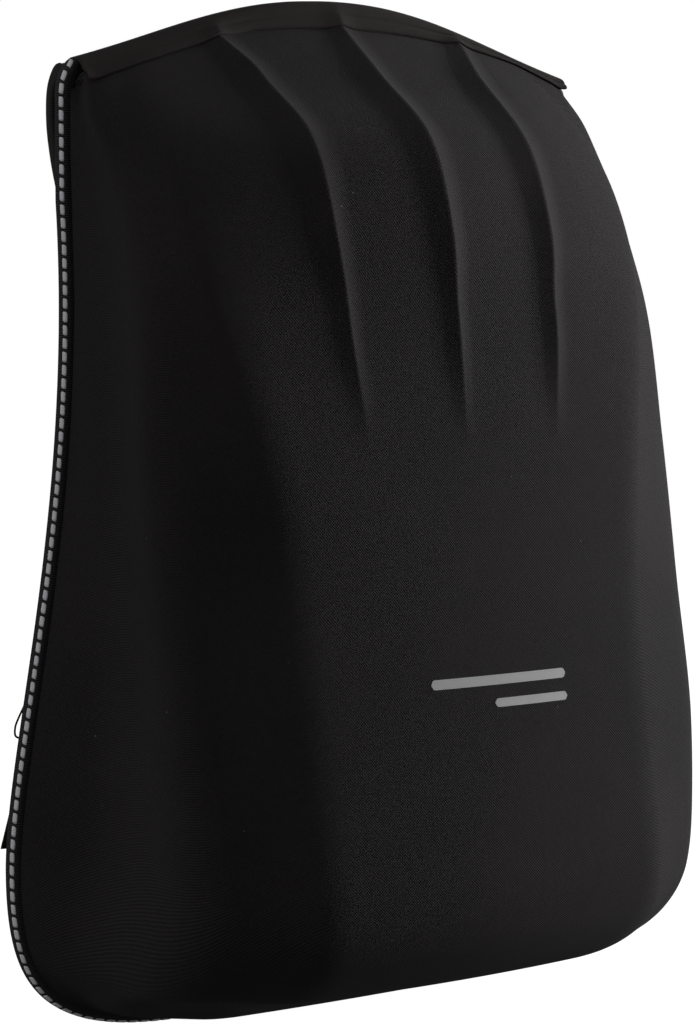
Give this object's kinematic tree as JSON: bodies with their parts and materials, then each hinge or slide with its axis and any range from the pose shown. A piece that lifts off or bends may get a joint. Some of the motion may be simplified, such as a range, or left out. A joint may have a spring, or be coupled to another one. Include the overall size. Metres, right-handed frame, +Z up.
{
  "type": "hard shell backpack",
  "caption": "Black moulded hard shell backpack with three raised ribs on the upper front, a taped seam, a folded collar and padded shoulder straps",
  "frame": {"origin": "on the floor under the middle of the bag's box, where the bag stands on its base", "axes": "+Z up, the shell's front looks along -Y, the straps lie on the +Y side, +X is to the right seen from the front"},
  "size_m": [0.353, 0.214, 0.497],
  "materials": {
    "shell_cloth": "plain weave over moulded foam, matt",
    "tape": "ribbed tape with grey reflective dashes",
    "collar_cloth": "soft cloth, matt",
    "padding": "knitted mesh over foam",
    "webbing": "woven webbing",
    "cord": "thin braided cord",
    "plastic": "fine texture"
  },
  "bodies": {
    "root": {"shell": "shell_cloth", "seam_tape": "tape", "collar": "collar_cloth", "back_panel": "padding", "haul_loop": "webbing", "cord_loop": "cord", "shoulder_strap_left": "padding", "shoulder_strap_right": "padding", "strap_buckle_left": "plastic", "strap_buckle_right": "plastic", "lower_webbing_left": "webbing", "lower_webbing_right": "webbing", "webbing_tail_left": "webbing", "webbing_tail_right": "webbing"}
  },
  "joints": []
}
